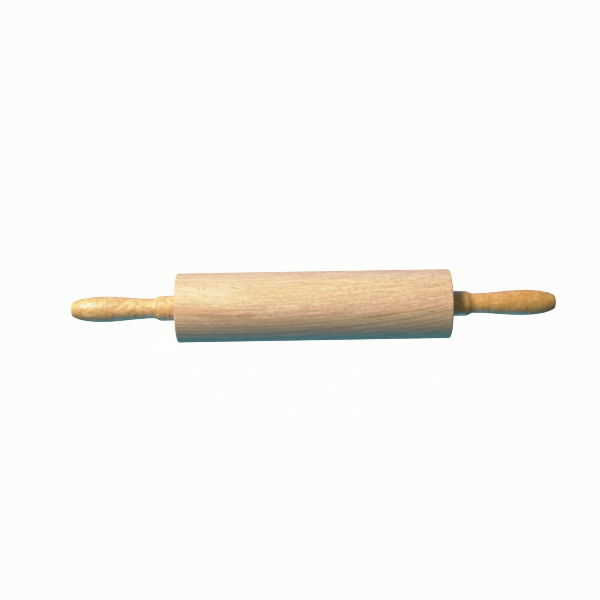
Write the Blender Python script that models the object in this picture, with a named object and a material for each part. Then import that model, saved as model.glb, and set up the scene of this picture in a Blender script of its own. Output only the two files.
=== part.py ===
"""Wooden rolling pin whose barrel turns on a steel axle in two shielded ball bearings.

Units are metres, +Z is up and X runs along the pin. The origin lies on the surface that the
barrel rests on, below the middle of the barrel. Each piece of the real pin is one closed solid.
"""

import math

import bmesh
import bpy
from mathutils import Vector

# Clearances between pieces
FIT_CLEARANCE = 0.0001
SEAT_CLEARANCE = 0.0002
JOINT_GAP = 0.00003

# Barrel
BARREL_LENGTH = 0.250
BARREL_RADIUS = 0.032
BARREL_EDGE_RADIUS = 0.0016
BARREL_BORE_PLAY = 0.001
BEARING_SET_BACK = 0.0012
SEAT_MOUTH_CHAMFER = 0.0004

# Axle
AXLE_RADIUS = 0.004
AXLE_REACH = 0.040
AXLE_TIP_CHAMFER = 0.0008
THREAD_DEPTH = 0.0002
THREAD_START = 0.0015
CIRCLIP_GROOVE_DEPTH = 0.0002

# Handle, measured outwards from the flat face of its collar
HANDLE_LENGTH = 0.095
COLLAR_RADIUS = 0.0117
COLLAR_LENGTH = 0.0123
COLLAR_EDGE_RADIUS = 0.0008
COVE_LENGTH = 0.0075
WAIST_RADIUS = 0.0093
GRIP_RADIUS = 0.0119
GRIP_CENTRE = 0.0655
TIP_RADIUS = 0.0064
TIP_EDGE_RADIUS = 0.0009
TIP_EDGE_DROP = 0.0004
NOSE_FULLNESS = 2.3
DRILL_POINT_LENGTH = 0.0022

# Threaded insert inside the collar
INSERT_WALL = 0.0019
INSERT_LENGTH = 0.018
INSERT_RECESS = 0.0005
INSERT_CHAMFER = 0.0005
INSERT_SLOT_WIDTH = 0.0016
INSERT_SLOT_DEPTH = 0.0018

# Plain washer and circlip
WASHER_PLAY = 0.0002
WASHER_RADIUS = 0.008
WASHER_THICKNESS = 0.0016
WASHER_CHAMFER = 0.0003
CIRCLIP_THICKNESS = 0.0008
CIRCLIP_NARROW = 0.0009
CIRCLIP_WIDE = 0.0015
CIRCLIP_LUG_REACH = 0.0031
CIRCLIP_LUG_WIDTH = 0.0026
CIRCLIP_GAP = 0.0032
CIRCLIP_HOLE_RADIUS = 0.0006

# Ball bearing
BALL_RADIUS = 0.00198
BALL_COUNT = 7
INNER_RING_WALL = 0.00134
OUTER_RING_WALL = 0.00144
GROOVE_CLEARANCE = 0.00008
GROOVE_DEPTH_SHARE = 0.28
RING_CHAMFER = 0.0003
CAGE_CLEARANCE = 0.00012
CAGE_THICKNESS = 0.0003
CAGE_WIDTH_SHARE = 0.6
CAGE_TO_SHIELD = 0.0004
SHIELD_THICKNESS = 0.0003
SHIELD_DISH = 0.00015
SHIELD_INSET = 0.00025
SHIELD_LIP = 0.0006
SHIELD_PLAY = 0.00025

# Sides of the polygon that stands for a circle, and points along curved stretches
BARREL_SIDES = 32
HANDLE_SIDES = 28
FITTING_SIDES = 24
EDGE_STEPS = 3
COVE_STEPS = 5
SWELL_STEPS = 8
NOSE_STEPS = 8
GROOVE_STEPS = 6
POCKET_STEPS = 6
BALL_SEGMENTS = 10
BALL_RINGS = 7
CIRCLIP_STEPS = 30
LUG_STEPS = 3
HOLE_STEPS = 10
SMOOTH_ANGLE = math.radians(40)
WELD_DISTANCE = 1e-7
OVERRUN = 0.001

# Bearing sizes that follow from what the bearing holds: about 8 x 22 x 7 mm
INNER_RING_BORE = AXLE_RADIUS + FIT_CLEARANCE
GROOVE_RADIUS = BALL_RADIUS + GROOVE_CLEARANCE
PITCH_RADIUS = INNER_RING_BORE + INNER_RING_WALL + GROOVE_RADIUS
BEARING_RADIUS = PITCH_RADIUS + GROOVE_RADIUS + OUTER_RING_WALL
GROOVE_DEPTH = GROOVE_DEPTH_SHARE * BALL_RADIUS
INNER_SHOULDER = PITCH_RADIUS - GROOVE_RADIUS + GROOVE_DEPTH
OUTER_SHOULDER = PITCH_RADIUS + GROOVE_RADIUS - GROOVE_DEPTH
POCKET_RADIUS = BALL_RADIUS + CAGE_CLEARANCE
SHIELD_BACK = POCKET_RADIUS + CAGE_THICKNESS + CAGE_TO_SHIELD
BEARING_HALF_WIDTH = SHIELD_BACK + SHIELD_THICKNESS + SHIELD_DISH + SHIELD_INSET

# Stations along X, from the middle of the barrel to the end of one handle
BARREL_END = BARREL_LENGTH / 2
BEARING_FACE = BARREL_END - BEARING_SET_BACK
BEARING_CENTRE = BEARING_FACE - BEARING_HALF_WIDTH
SEAT_FLOOR = BEARING_CENTRE - BEARING_HALF_WIDTH - SEAT_CLEARANCE
CIRCLIP_INNER_FACE = BEARING_FACE + SEAT_CLEARANCE
CIRCLIP_OUTER_FACE = CIRCLIP_INNER_FACE + CIRCLIP_THICKNESS
WASHER_INNER_FACE = CIRCLIP_OUTER_FACE + SEAT_CLEARANCE
WASHER_OUTER_FACE = WASHER_INNER_FACE + WASHER_THICKNESS
COLLAR_FACE = WASHER_OUTER_FACE + SEAT_CLEARANCE
AXLE_END = COLLAR_FACE + AXLE_REACH

# Radii of the seats and bores that take the pieces above
BARREL_BORE = AXLE_RADIUS + BARREL_BORE_PLAY
BEARING_SEAT = BEARING_RADIUS + FIT_CLEARANCE
CIRCLIP_FLOOR = AXLE_RADIUS - CIRCLIP_GROOVE_DEPTH
INSERT_BORE = AXLE_RADIUS + FIT_CLEARANCE
INSERT_RADIUS = INSERT_BORE + INSERT_WALL
SHIELD_SEAT = OUTER_SHOULDER + SHIELD_LIP


def clear_scene():
    """Removes every object that the file opened with."""
    for found in list(bpy.data.objects):
        bpy.data.objects.remove(found)


def material(name, colour, roughness, metallic=0.0):
    """A Principled material of one colour."""
    made = bpy.data.materials.new(name)
    made.use_nodes = True
    shader = made.node_tree.nodes["Principled BSDF"]
    shader.inputs["Base Color"].default_value = (*colour, 1.0)
    shader.inputs["Roughness"].default_value = roughness
    shader.inputs["Metallic"].default_value = metallic
    return made


def empty(name, parent=None, location=(0, 0, 0), turn=0):
    """A parent for pieces; turn rotates it about Z."""
    made = bpy.data.objects.new(name, None)
    bpy.context.scene.collection.objects.link(made)
    made.parent = parent
    made.location = location
    made.rotation_euler = (0, 0, turn)
    return made


def place(name, data, finish, parent, location=(0, 0, 0), rotation=(0, 0, 0)):
    """An object for a mesh or curve, with its material, put in place under its parent."""
    if finish.name not in data.materials:
        data.materials.append(finish)
    made = bpy.data.objects.new(name, data)
    bpy.context.scene.collection.objects.link(made)
    made.parent = parent
    made.location = location
    made.rotation_euler = rotation
    return made


def finished_mesh(name, body):
    """Turns a bmesh into a welded mesh with outward normals and smooth round faces."""
    bmesh.ops.remove_doubles(body, verts=body.verts, dist=WELD_DISTANCE)
    bmesh.ops.recalc_face_normals(body, faces=body.faces)
    mesh = bpy.data.meshes.new(name)
    body.to_mesh(mesh)
    body.free()
    mesh.shade_smooth()
    mesh.set_sharp_from_angle(angle=SMOOTH_ANGLE)
    return mesh


def around_flats(radius, sides):
    """Corner radius of a polygon whose flats touch a circle of this radius from outside."""
    return radius / math.cos(math.pi / sides)


def turned(name, outline, sides, ring):
    """Spins an outline of (x, radius) points about X, with a flat of the polygon facing down.

    A ring's outline is a closed loop off the axis; a solid's starts and ends on the axis.
    """
    half_step = math.pi / sides
    body = bmesh.new()
    points = [
        body.verts.new((x, radius * math.sin(half_step), -radius * math.cos(half_step)))
        for x, radius in outline
    ]
    for first, second in zip(points, points[1:]):
        body.edges.new((first, second))
    if ring:
        body.edges.new((points[-1], points[0]))
    bmesh.ops.spin(
        body,
        geom=body.verts[:] + body.edges[:],
        cent=(0, 0, 0),
        axis=(1, 0, 0),
        angle=math.tau,
        steps=sides,
        use_merge=True,
    )
    return finished_mesh(name, body)


def arc(centre_x, centre_radius, radius, start, end, steps):
    """Points of an arc; angles are measured from the outward radial direction towards +X."""
    return [
        (
            centre_x + radius * math.sin(start + (end - start) * step / steps),
            centre_radius + radius * math.cos(start + (end - start) * step / steps),
        )
        for step in range(steps + 1)
    ]


def mirrored(outline):
    """The outline followed backwards on the other side of the plane x = 0."""
    return [(-x, radius) for x, radius in reversed(outline)]


def barrel_mesh():
    """Roller with rounded rims, a through bore and a stepped bearing seat in each end."""
    edge = arc(
        BARREL_END - BARREL_EDGE_RADIUS,
        BARREL_RADIUS - BARREL_EDGE_RADIUS,
        BARREL_EDGE_RADIUS,
        0,
        math.pi / 2,
        EDGE_STEPS,
    )
    rim = [(x, around_flats(radius, BARREL_SIDES)) for x, radius in edge]
    seat = around_flats(BEARING_SEAT, BARREL_SIDES)
    bore = around_flats(BARREL_BORE, BARREL_SIDES)
    mouth = [
        (BARREL_END, seat + SEAT_MOUTH_CHAMFER),
        (BARREL_END - SEAT_MOUTH_CHAMFER, seat),
        (SEAT_FLOOR, seat),
        (SEAT_FLOOR, bore),
    ]
    right = rim + mouth
    return turned("barrel", right + mirrored(right), BARREL_SIDES, ring=True)


def axle_mesh():
    """Rod with a circlip groove and a reduced, threaded stretch at each end."""
    groove_end = CIRCLIP_OUTER_FACE + FIT_CLEARANCE
    groove_start = CIRCLIP_INNER_FACE - FIT_CLEARANCE
    thread = AXLE_RADIUS - THREAD_DEPTH
    thread_start = COLLAR_FACE + THREAD_START
    right = [
        (groove_start, AXLE_RADIUS),
        (groove_start, CIRCLIP_FLOOR),
        (groove_end, CIRCLIP_FLOOR),
        (groove_end, AXLE_RADIUS),
        (thread_start, AXLE_RADIUS),
        (thread_start + THREAD_DEPTH, thread),
        (AXLE_END - AXLE_TIP_CHAMFER, thread),
        (AXLE_END, thread - AXLE_TIP_CHAMFER),
        (AXLE_END, 0),
    ]
    return turned("axle", mirrored(right) + right, FITTING_SIDES, ring=False)


def handle_outline():
    """Outside of a handle from the collar's face to the flat tip: collar, cove, swell, nose."""
    collar = arc(
        COLLAR_EDGE_RADIUS,
        COLLAR_RADIUS - COLLAR_EDGE_RADIUS,
        COLLAR_EDGE_RADIUS,
        -math.pi / 2,
        0,
        EDGE_STEPS,
    )
    waist_x = COLLAR_LENGTH + COVE_LENGTH
    cove = wave(COLLAR_LENGTH, COLLAR_RADIUS, waist_x, WAIST_RADIUS, COVE_STEPS)
    swell = wave(waist_x, WAIST_RADIUS, GRIP_CENTRE, GRIP_RADIUS, SWELL_STEPS)
    nose_end = HANDLE_LENGTH - TIP_EDGE_DROP
    tip = [(HANDLE_LENGTH, TIP_RADIUS - TIP_EDGE_RADIUS), (HANDLE_LENGTH, 0)]
    return collar + cove + swell[1:] + nose(nose_end)[1:] + tip


def wave(start_x, start_radius, end_x, end_radius, steps):
    """Points of half a cosine wave, level at both ends."""
    return [
        (
            start_x + (end_x - start_x) * step / steps,
            start_radius
            + (end_radius - start_radius) * (1 - math.cos(math.pi * step / steps)) / 2,
        )
        for step in range(steps + 1)
    ]


def nose(end_x):
    """Points of the full curve that falls from the grip's widest place to the tip."""
    reach = (1 - (TIP_RADIUS / GRIP_RADIUS) ** NOSE_FULLNESS) ** (1 / NOSE_FULLNESS)
    points = []
    for step in range(NOSE_STEPS + 1):
        along = math.sin(math.pi / 2 * step / NOSE_STEPS)
        height = (1 - (reach * along) ** NOSE_FULLNESS) ** (1 / NOSE_FULLNESS)
        points.append((GRIP_CENTRE + (end_x - GRIP_CENTRE) * along, GRIP_RADIUS * height))
    return points


def handle_mesh():
    """Turned handle with a blind bore for the axle and a wider one for the insert."""
    bore = around_flats(AXLE_RADIUS + SEAT_CLEARANCE, HANDLE_SIDES)
    bore_floor = AXLE_REACH + SEAT_CLEARANCE
    insert_bore = around_flats(INSERT_RADIUS + FIT_CLEARANCE, HANDLE_SIDES)
    insert_floor = INSERT_RECESS + INSERT_LENGTH + SEAT_CLEARANCE
    inside = [
        (bore_floor + DRILL_POINT_LENGTH, 0),
        (bore_floor, bore),
        (insert_floor, bore),
        (insert_floor, insert_bore),
        (0, insert_bore),
    ]
    return turned("handle", inside + handle_outline(), HANDLE_SIDES, ring=False)


def insert_mesh():
    """Sleeve that is screwed into the handle and takes the axle's thread."""
    bore = around_flats(INSERT_BORE, FITTING_SIDES)
    outline = [
        (0, bore),
        (0, INSERT_RADIUS - INSERT_CHAMFER),
        (INSERT_CHAMFER, INSERT_RADIUS),
        (INSERT_LENGTH - INSERT_CHAMFER, INSERT_RADIUS),
        (INSERT_LENGTH, INSERT_RADIUS - INSERT_CHAMFER),
        (INSERT_LENGTH, bore),
    ]
    return turned("thread_insert", outline, FITTING_SIDES, ring=True)


def slot_cutter(name, parent, location):
    """Bar that cuts the screwdriver slot across the insert's outer face."""
    body = bmesh.new()
    bmesh.ops.create_cube(body, size=1)
    size = (2 * INSERT_SLOT_DEPTH, 2 * (INSERT_RADIUS + OVERRUN), INSERT_SLOT_WIDTH)
    bmesh.ops.scale(body, vec=size, verts=body.verts)
    mesh = bpy.data.meshes.new(name)
    body.to_mesh(mesh)
    body.free()
    made = bpy.data.objects.new(name, mesh)
    bpy.context.scene.collection.objects.link(made)
    made.parent = parent
    made.location = location
    made.hide_render = True
    made.display_type = "WIRE"
    return made


def washer_mesh():
    """Plain washer, chamfered on its outer face."""
    bore = around_flats(AXLE_RADIUS + WASHER_PLAY, FITTING_SIDES)
    outline = [
        (0, bore),
        (0, WASHER_RADIUS),
        (WASHER_THICKNESS - WASHER_CHAMFER, WASHER_RADIUS),
        (WASHER_THICKNESS, WASHER_RADIUS - WASHER_CHAMFER),
        (WASHER_THICKNESS, bore),
    ]
    return turned("washer", outline, FITTING_SIDES, ring=True)


def circlip_curve():
    """Flat retaining ring: widest opposite its gap, with a drilled lug on each side of the gap."""
    inner = CIRCLIP_FLOOR + FIT_CLEARANCE
    lug_outer = inner + CIRCLIP_LUG_REACH
    gap_angle = math.asin(CIRCLIP_GAP / 2 / inner)
    lug_angle = gap_angle + CIRCLIP_LUG_WIDTH / lug_outer
    ring_turn = 2 * (math.pi - lug_angle)
    outside = [
        (lug_outer, gap_angle + (lug_angle - gap_angle) * step / LUG_STEPS)
        for step in range(LUG_STEPS + 1)
    ]
    for step in range(CIRCLIP_STEPS + 1):
        angle = lug_angle + ring_turn * step / CIRCLIP_STEPS
        swell = (1 - math.cos(angle)) / 2
        width = CIRCLIP_NARROW + (CIRCLIP_WIDE - CIRCLIP_NARROW) * swell
        outside.append((inner + width, angle))
    outside += [(radius, math.tau - angle) for radius, angle in reversed(outside[: LUG_STEPS + 1])]
    inside = [
        (inner, math.tau - gap_angle - (math.tau - 2 * gap_angle) * step / CIRCLIP_STEPS)
        for step in range(CIRCLIP_STEPS + 1)
    ]
    curve = bpy.data.curves.new("circlip", "CURVE")
    curve.dimensions = "2D"
    curve.fill_mode = "BOTH"
    curve.extrude = CIRCLIP_THICKNESS / 2
    closed_spline(curve, [polar(radius, angle) for radius, angle in outside + inside])
    hole_centre = inner + CIRCLIP_LUG_REACH / 2
    for side in (-1, 1):
        centre = polar(hole_centre, side * (gap_angle + lug_angle) / 2)
        hole = [
            centre + polar(CIRCLIP_HOLE_RADIUS, math.tau * step / HOLE_STEPS)
            for step in range(HOLE_STEPS)
        ]
        closed_spline(curve, hole)
    return curve


def polar(radius, angle):
    """A point in the curve's plane; angle 0 points to where the gap is."""
    return Vector((-radius * math.cos(angle), radius * math.sin(angle), 0))


def closed_spline(curve, points):
    """Adds a closed polygon to a flat curve."""
    spline = curve.splines.new("POLY")
    spline.points.add(len(points) - 1)
    for target, point in zip(spline.points, points):
        target.co = (*point, 1)
    spline.use_cyclic_u = True


def groove_half_angle():
    """Half the angle that a race's groove spans at its centre, from shoulder to shoulder."""
    return math.acos((GROOVE_RADIUS - GROOVE_DEPTH) / GROOVE_RADIUS)


def outer_ring_mesh():
    """Outer race: grooved inside, with a recess at each face that holds a shield."""
    groove = [
        (x, around_flats(radius, FITTING_SIDES))
        for x, radius in arc(
            0,
            PITCH_RADIUS,
            GROOVE_RADIUS,
            -groove_half_angle(),
            groove_half_angle(),
            GROOVE_STEPS,
        )
    ]
    recess = around_flats(SHIELD_SEAT, FITTING_SIDES)
    shoulder = around_flats(OUTER_SHOULDER, FITTING_SIDES)
    recess_floor = SHIELD_BACK - FIT_CLEARANCE
    right = [
        (recess_floor, shoulder),
        (recess_floor, recess),
        (BEARING_HALF_WIDTH, recess),
        (BEARING_HALF_WIDTH, BEARING_RADIUS - RING_CHAMFER),
        (BEARING_HALF_WIDTH - RING_CHAMFER, BEARING_RADIUS),
    ]
    return turned("bearing_outer_ring", groove + right + mirrored(right), FITTING_SIDES, ring=True)


def inner_ring_mesh():
    """Inner race: grooved outside, bored for the axle."""
    groove = arc(
        0,
        PITCH_RADIUS,
        GROOVE_RADIUS,
        math.pi + groove_half_angle(),
        math.pi - groove_half_angle(),
        GROOVE_STEPS,
    )
    bore = around_flats(INNER_RING_BORE, FITTING_SIDES)
    right = [
        (BEARING_HALF_WIDTH, INNER_SHOULDER),
        (BEARING_HALF_WIDTH, bore + RING_CHAMFER),
        (BEARING_HALF_WIDTH - RING_CHAMFER, bore),
    ]
    return turned("bearing_inner_ring", groove + right + mirrored(right), FITTING_SIDES, ring=True)


def shield_mesh():
    """Thin dished plate: its rim sits in the outer race, its hole clears the inner race."""
    rim = SHIELD_SEAT - FIT_CLEARANCE
    hole = around_flats(INNER_SHOULDER + SHIELD_PLAY, FITTING_SIDES)
    step = (rim + hole) / 2
    bend = step + SHIELD_DISH
    front = SHIELD_BACK + SHIELD_THICKNESS
    outline = [
        (SHIELD_BACK, rim),
        (SHIELD_BACK, bend),
        (SHIELD_BACK + SHIELD_DISH, step),
        (SHIELD_BACK + SHIELD_DISH, hole),
        (front + SHIELD_DISH, hole),
        (front + SHIELD_DISH, step),
        (front, bend),
        (front, rim),
    ]
    return turned("bearing_shield", outline, FITTING_SIDES, ring=True)


def ball_mesh():
    """One bearing ball."""
    body = bmesh.new()
    bmesh.ops.create_uvsphere(
        body, u_segments=BALL_SEGMENTS, v_segments=BALL_RINGS, radius=BALL_RADIUS
    )
    return finished_mesh("bearing_ball", body)


def cage_mesh():
    """Half of the pressed ribbon cage: a strip that arches over each ball and lies flat between.

    The strip is swept round the pitch circle; each station holds the four corners of its section.
    """
    strip_width = CAGE_WIDTH_SHARE * (OUTER_SHOULDER - INNER_SHOULDER)
    land_angle = math.pi / BALL_COUNT
    back_radius = POCKET_RADIUS + CAGE_THICKNESS
    front_end = math.acos(JOINT_GAP / POCKET_RADIUS)
    back_end = math.acos((JOINT_GAP + CAGE_THICKNESS) / back_radius)
    body = bmesh.new()
    sections = []
    for pocket in range(BALL_COUNT):
        middle = math.tau * pocket / BALL_COUNT
        for step in range(POCKET_STEPS + 1):
            share = 2 * step / POCKET_STEPS - 1
            front = (POCKET_RADIUS, front_end * share)
            back = (back_radius, back_end * share)
            sections.append([on_pocket(middle, *front), on_pocket(middle, *back)])
        land = middle + land_angle
        sections.append([(JOINT_GAP, land), (JOINT_GAP + CAGE_THICKNESS, land)])
    rings = []
    for front, back in sections:
        corners = []
        for (x, angle), radial in ((front, -1), (front, 1), (back, 1), (back, -1)):
            radius = PITCH_RADIUS + radial * strip_width / 2
            corners.append(
                body.verts.new((x, radius * math.sin(angle), radius * math.cos(angle)))
            )
        rings.append(corners)
    for first, second in zip(rings, rings[1:] + rings[:1]):
        for side in range(len(first)):
            after = (side + 1) % len(first)
            body.faces.new((first[side], first[after], second[after], second[side]))
    return finished_mesh("bearing_cage", body)


def on_pocket(middle, radius, turn):
    """(x, angle about the axle) of a point on the arch over the ball at angle middle."""
    return radius * math.cos(turn), middle + radius * math.sin(turn) / PITCH_RADIUS


def build_bearing(side, parent, meshes, finishes):
    """One ball bearing: two races, two shields, two cage halves and the balls."""
    centre = empty(f"{side}_bearing", parent, (BEARING_CENTRE, 0, 0))
    place(f"{side}_bearing_outer_ring", meshes["outer_ring"], finishes["race"], centre)
    place(f"{side}_bearing_inner_ring", meshes["inner_ring"], finishes["race"], centre)
    for face, turn in (("outboard", 0), ("inboard", math.pi)):
        facing = (0, 0, turn)
        place(f"{side}_bearing_{face}_shield", meshes["shield"], finishes["shield"], centre,
              rotation=facing)
        # Half a turn about Z carries a ball's angle to its negative, so the pockets still match.
        place(f"{side}_bearing_{face}_cage_half", meshes["cage"], finishes["cage"], centre,
              rotation=facing)
    for index in range(BALL_COUNT):
        angle = math.tau * index / BALL_COUNT
        spot = (0, PITCH_RADIUS * math.sin(angle), PITCH_RADIUS * math.cos(angle))
        place(f"{side}_bearing_ball_{index + 1}", meshes["ball"], finishes["ball"], centre, spot)


def build_side(side, parent, meshes, finishes):
    """Everything at one end of the barrel; the left side is the right side turned half round."""
    build_bearing(side, parent, meshes, finishes)
    place(
        f"{side}_circlip",
        meshes["circlip"],
        finishes["spring_steel"],
        parent,
        location=((CIRCLIP_INNER_FACE + CIRCLIP_OUTER_FACE) / 2, 0, 0),
        rotation=(0, math.pi / 2, 0),
    )
    place(f"{side}_washer", meshes["washer"], finishes["zinc"], parent, (WASHER_INNER_FACE, 0, 0))
    place(f"{side}_handle", meshes["handle"], finishes["handle"], parent, (COLLAR_FACE, 0, 0))
    insert_face = (COLLAR_FACE + INSERT_RECESS, 0, 0)
    insert = place(f"{side}_thread_insert", meshes["insert"], finishes["brass"], parent, insert_face)
    slot = insert.modifiers.new("driver_slot", "BOOLEAN")
    slot.operation = "DIFFERENCE"
    slot.solver = "EXACT"
    slot.object = slot_cutter(f"{side}_slot_cutter", parent, insert_face)


def main():
    """Builds the whole pin about its axis, which lies one barrel radius above the origin."""
    clear_scene()
    finishes = {
        "barrel": material("beech_sanded", (0.80, 0.60, 0.40), 0.60),
        "handle": material("beech_varnished", (0.78, 0.50, 0.18), 0.28),
        "axle": material("bright_steel", (0.62, 0.62, 0.62), 0.30, 1.0),
        "race": material("bearing_steel", (0.60, 0.60, 0.62), 0.20, 1.0),
        "ball": material("ball_steel", (0.72, 0.72, 0.74), 0.10, 1.0),
        "cage": material("pressed_steel", (0.55, 0.52, 0.46), 0.35, 1.0),
        "shield": material("shield_steel", (0.58, 0.58, 0.58), 0.30, 1.0),
        "spring_steel": material("spring_steel", (0.12, 0.12, 0.13), 0.40, 1.0),
        "zinc": material("zinc_plated_steel", (0.66, 0.68, 0.70), 0.30, 1.0),
        "brass": material("brass", (0.72, 0.52, 0.24), 0.30, 1.0),
    }
    meshes = {
        "outer_ring": outer_ring_mesh(),
        "inner_ring": inner_ring_mesh(),
        "shield": shield_mesh(),
        "cage": cage_mesh(),
        "ball": ball_mesh(),
        "circlip": circlip_curve(),
        "washer": washer_mesh(),
        "insert": insert_mesh(),
        "handle": handle_mesh(),
    }
    axis = empty("pin_axis", location=(0, 0, BARREL_RADIUS))
    place("barrel", barrel_mesh(), finishes["barrel"], axis)
    place("axle", axle_mesh(), finishes["axle"], axis)
    for side, turn in (("right", 0), ("left", math.pi)):
        build_side(side, empty(f"{side}_end", axis, turn=turn), meshes, finishes)


main()
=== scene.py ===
"""Looks of the wooden rolling pin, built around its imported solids.

Each turned piece is spun again in fine steps at the size and place of its solid, and dressed in
beech, varnish, steel or brass made of shader nodes. Units are metres, X runs along the pin, +Z is
up and the barrel rests on z = 0. Pieces of the left end are those of the right end, turned half
round about Z.
"""

import logging
import math
from dataclasses import dataclass
from enum import Enum
from typing import Any, ClassVar

import bmesh
import bpy
from mathutils import Matrix, Vector


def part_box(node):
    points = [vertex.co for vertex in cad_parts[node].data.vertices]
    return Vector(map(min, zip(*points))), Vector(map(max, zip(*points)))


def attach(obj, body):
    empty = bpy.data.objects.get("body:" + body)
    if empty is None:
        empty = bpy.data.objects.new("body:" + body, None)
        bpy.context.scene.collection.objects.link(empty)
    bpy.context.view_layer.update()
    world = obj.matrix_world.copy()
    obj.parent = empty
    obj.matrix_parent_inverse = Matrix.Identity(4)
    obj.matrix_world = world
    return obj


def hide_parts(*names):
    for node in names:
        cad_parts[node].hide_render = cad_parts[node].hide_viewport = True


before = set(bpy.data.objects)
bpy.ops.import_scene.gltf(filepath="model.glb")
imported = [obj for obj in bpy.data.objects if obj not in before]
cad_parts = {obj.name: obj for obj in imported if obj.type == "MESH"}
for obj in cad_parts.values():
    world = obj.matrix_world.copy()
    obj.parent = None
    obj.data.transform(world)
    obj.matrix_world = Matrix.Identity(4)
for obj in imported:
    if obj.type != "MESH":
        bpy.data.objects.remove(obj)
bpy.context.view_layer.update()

LOG = logging.getLogger("rolling_pin")
MILLIMETRE = 0.001
WELD_DISTANCE = 1e-7
SHARP_ANGLE = 60.0

Point = tuple[float, float]
Place = tuple[float, float, float]
Colour = tuple[float, float, float]
Socket = bpy.types.NodeSocket


class Side(Enum):
    """End of the pin that a piece belongs to."""

    LEFT = "left"
    RIGHT = "right"


class Body(Enum):
    """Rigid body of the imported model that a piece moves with."""

    ROLLER = "roller"
    HANDLES = "handle_assembly"
    LEFT_CAGE = "left_cage"
    RIGHT_CAGE = "right_cage"


class Marks(Enum):
    """Traces that a tool leaves on metal."""

    TURNED = "Turned"
    DRAWN = "Drawn"
    SMUDGED = "Smudged"


class Tone(Enum):
    """A wood's colour that is laid over its ground."""

    LATE = "late"
    RAY = "ray"
    PORE = "pore"


def box_radius(node: str) -> float:
    """Largest radius about the pin's axis that fits the box of a CAD node."""
    low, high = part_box(node)
    return (high.z - low.z) / 2


AXIS_HEIGHT = box_radius("barrel")


def arc(centre: Point, radius: float, start: float, end: float, steps: int) -> list[Point]:
    """Points of an arc with both its ends; angles run from the outward direction towards +X."""
    turns = [start + (end - start) * step / steps for step in range(steps + 1)]
    return [(centre[0] + radius * math.sin(turn), centre[1] + radius * math.cos(turn)) for turn in turns]


def half_wave(start: Point, end: Point, steps: int) -> list[Point]:
    """Points of half a cosine wave that is level at both ends.

    Args:
        start: x and radius where the wave begins.
        end: x and radius where it ends.
        steps: number of stretches.

    Returns:
        The points from start to end, both included.
    """
    points = []
    for step in range(steps + 1):
        share = step / steps
        rise = (1 - math.cos(math.pi * share)) / 2
        points.append((start[0] + (end[0] - start[0]) * share, start[1] + (end[1] - start[1]) * rise))
    return points


def mirrored(outline: list[Point]) -> list[Point]:
    """The outline followed backwards on the other side of x = 0."""
    return [(-x, radius) for x, radius in reversed(outline)]


def shifted(outline: list[Point], distance: float) -> list[Point]:
    """The outline moved along the pin."""
    return [(x + distance, radius) for x, radius in outline]


@dataclass(frozen=True)
class Thread:
    """A right-handed thread, cut by moving the points of a cylinder.

    Attributes:
        pitch: distance from one turn to the next.
        depth: from crest to root.
        run_out: length over which it fades at either end.
        flank: steepness of its flanks.
        land: how much of crest and root is flat.
    """

    pitch: float
    depth: float
    run_out: float = 0.0009
    flank: float = 1.4
    land: float = 0.2

    def cut(self, x: float, turn: float, inset: float) -> float:
        """How far the surface lies from the crest.

        Args:
            x: place along the pin.
            turn: angle from +Z towards +Y.
            inset: distance to the nearer end of the threaded stretch.

        Returns:
            0 on the crest and outside the stretch, up to the depth in the root.
        """
        phase = (x / self.pitch + turn / math.tau) % 1
        groove = min(max(self.flank * (1 - abs(2 * phase - 1)) - self.land, 0), 1)
        return self.depth * groove * min(max(inset / self.run_out, 0), 1)


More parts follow.
